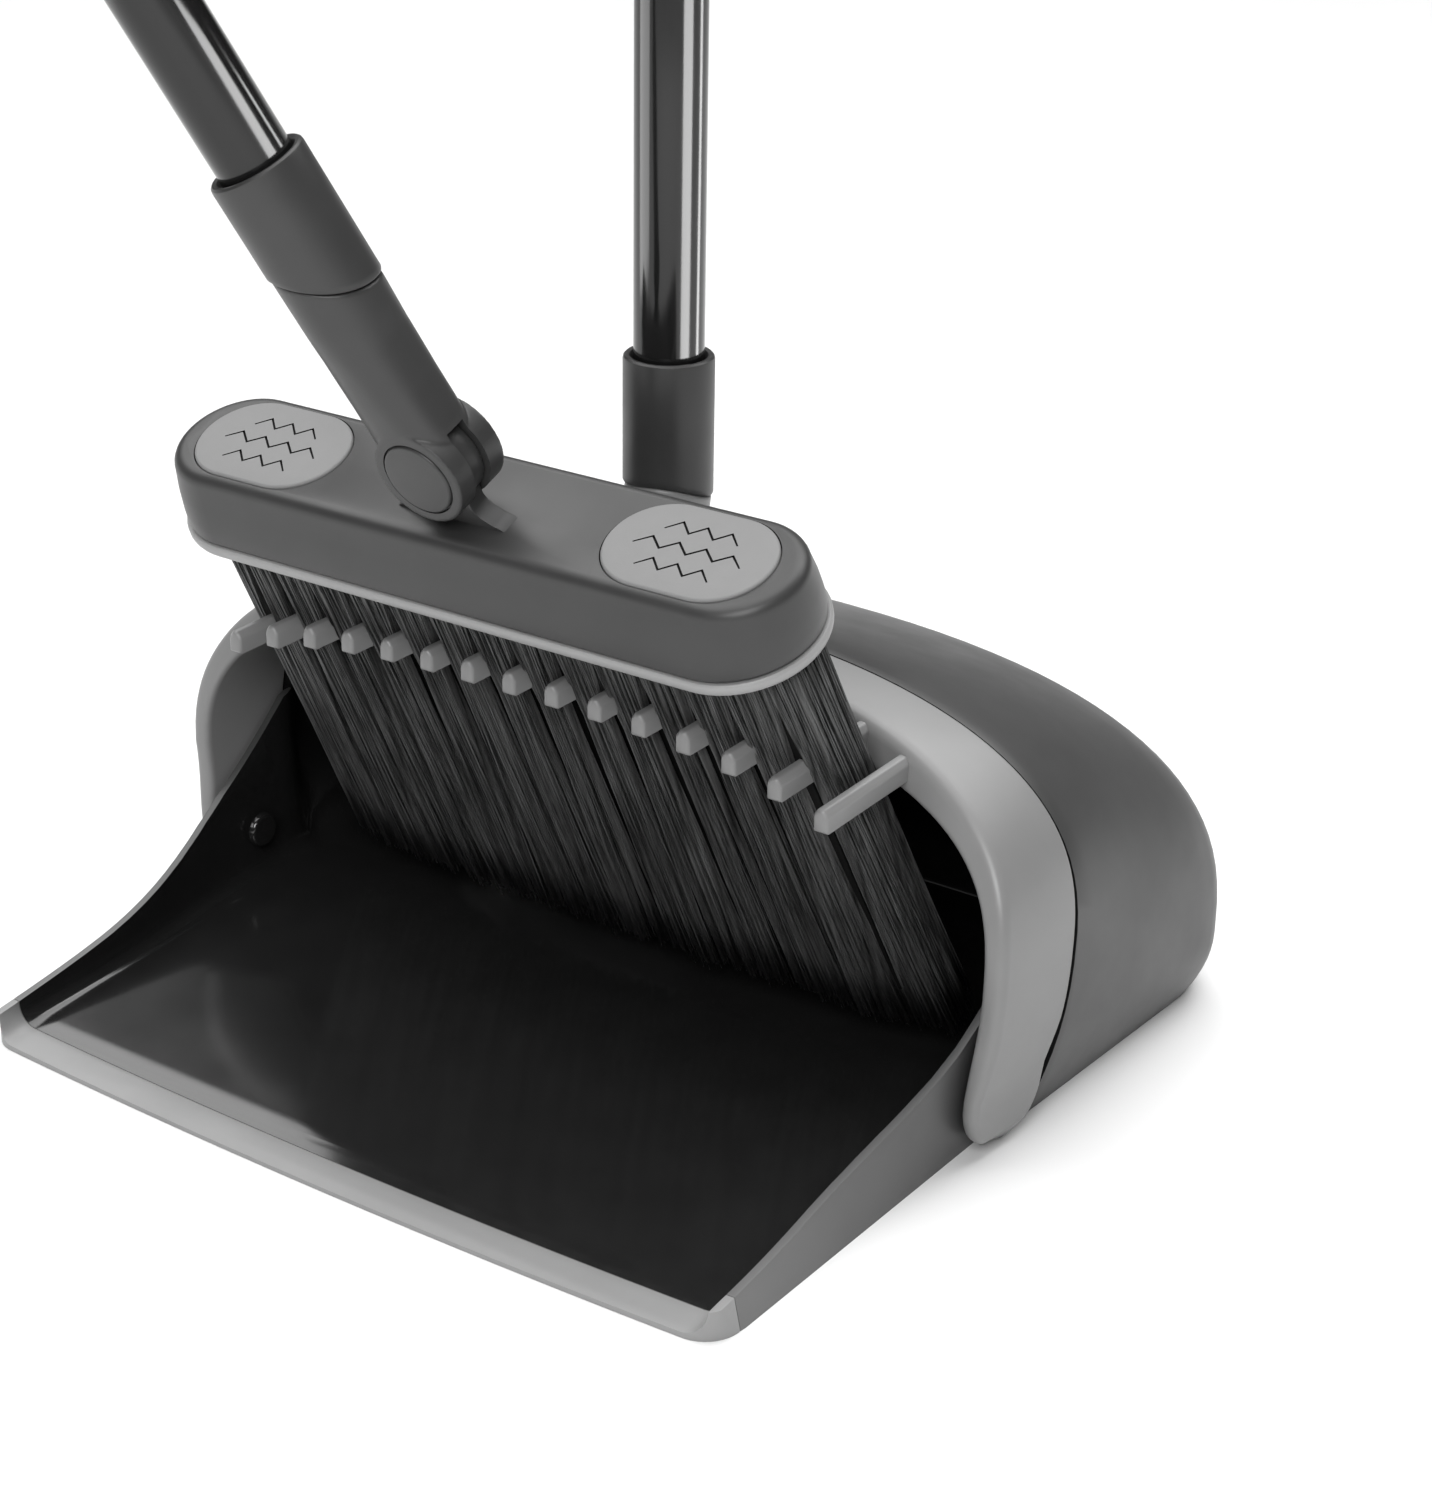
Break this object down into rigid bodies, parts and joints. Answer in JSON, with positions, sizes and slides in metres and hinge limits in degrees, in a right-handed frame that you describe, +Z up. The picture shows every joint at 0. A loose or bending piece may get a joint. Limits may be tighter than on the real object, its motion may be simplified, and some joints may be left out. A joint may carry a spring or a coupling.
{
  "type": "upright dustpan and broom set",
  "caption": "Upright dustpan with a folding yoke handle and a comb that holds the bristles of its long swivel-headed broom.",
  "frame": {"origin": "on the underside of the pan, midway across and 4 mm behind the line below the yoke's pivots", "axes": "+Z up, +X to the right along the lip seen from the front, +Y from the lip towards the hood"},
  "size_m": [0.5668, 0.6134, 1.2142],
  "materials": {
    "pan_shell": "satin",
    "lip_strip": "satin",
    "yoke_arch": "satin",
    "charcoal_shell": "satin",
    "light_trim": "satin",
    "tread_pad": "matte",
    "light_grip": "satin",
    "bristle_mass": "matte",
    "pole_tube": "gloss",
    "steel_parts": "satin",
    "nylon_plug": "matte"
  },
  "bodies": {
    "pan": {"pan_shell": "pan_shell", "lip_strip": "lip_strip", "pivot_pin_left": "steel_parts", "pivot_pin_right": "steel_parts"},
    "yoke": {"yoke_arch": "yoke_arch", "pan_sleeve": "charcoal_shell", "pan_pole_lower": "pole_tube", "pan_pole_middle": "pole_tube", "pan_pole_upper": "pole_tube", "pan_pole_plug_1": "nylon_plug", "pan_pole_plug_2": "nylon_plug", "pan_grip": "light_grip", "pan_hang_ring": "light_grip", "pan_snap_spring": "steel_parts"},
    "pan_button": {"pan_snap_button": "steel_parts"},
    "clip": {"pole_clip": "charcoal_shell"},
    "broom_head": {"head_cover": "charcoal_shell", "brush_block": "light_trim", "bristles": "bristle_mass", "tread_pad_left": "tread_pad", "tread_pad_right": "tread_pad", "head_screw_left": "steel_parts", "head_screw_right": "steel_parts"},
    "broom_handle": {"swivel_arm": "charcoal_shell", "swivel_pin": "steel_parts", "swivel_cap_front": "charcoal_shell", "swivel_cap_back": "charcoal_shell", "broom_sleeve": "charcoal_shell", "broom_pole_1": "pole_tube", "broom_pole_2": "pole_tube", "broom_pole_3": "pole_tube", "broom_pole_4": "pole_tube", "broom_pole_plug_1": "nylon_plug", "broom_pole_plug_2": "nylon_plug", "broom_pole_plug_3": "nylon_plug", "broom_grip": "light_grip", "broom_hang_ring": "light_grip", "broom_snap_spring": "steel_parts"},
    "broom_button": {"broom_snap_button": "steel_parts"}
  },
  "joints": [
    {"name": "pan_fold", "type": "hinge", "parent": "pan", "child": "yoke", "pos_m": [0, -0.004, 0.022], "axis": [1, 0, 0], "range_deg": [0, 68]},
    {"name": "pan_button_press", "type": "slide", "parent": "yoke", "child": "pan_button", "axis": [0, -1, 0], "range_m": [0, 0.0025], "stiffness_N_per_m": 800, "deforming": ["pan_snap_spring"]},
    {"name": "clip_turn", "type": "hinge", "parent": "yoke", "child": "clip", "pos_m": [0, 0.041, 0.809], "axis": [0, 0, 1], "continuous": true},
    {"name": "broom_lift", "type": "slide", "parent": "yoke", "child": "broom_head", "axis": [0, -0.4462, 0.8949], "range_m": [0, 0.19]},
    {"name": "handle_swivel", "type": "hinge", "parent": "broom_head", "child": "broom_handle", "pos_m": [-0.0085, -0.06682, 0.21366], "axis": [0, 0.9272, 0.3746], "range_deg": [-70, 108]},
    {"name": "broom_button_press", "type": "slide", "parent": "broom_handle", "child": "broom_button", "axis": [0, -0.9272, -0.3746], "range_m": [0, 0.0025], "stiffness_N_per_m": 800, "deforming": ["broom_snap_spring"]}
  ]
}
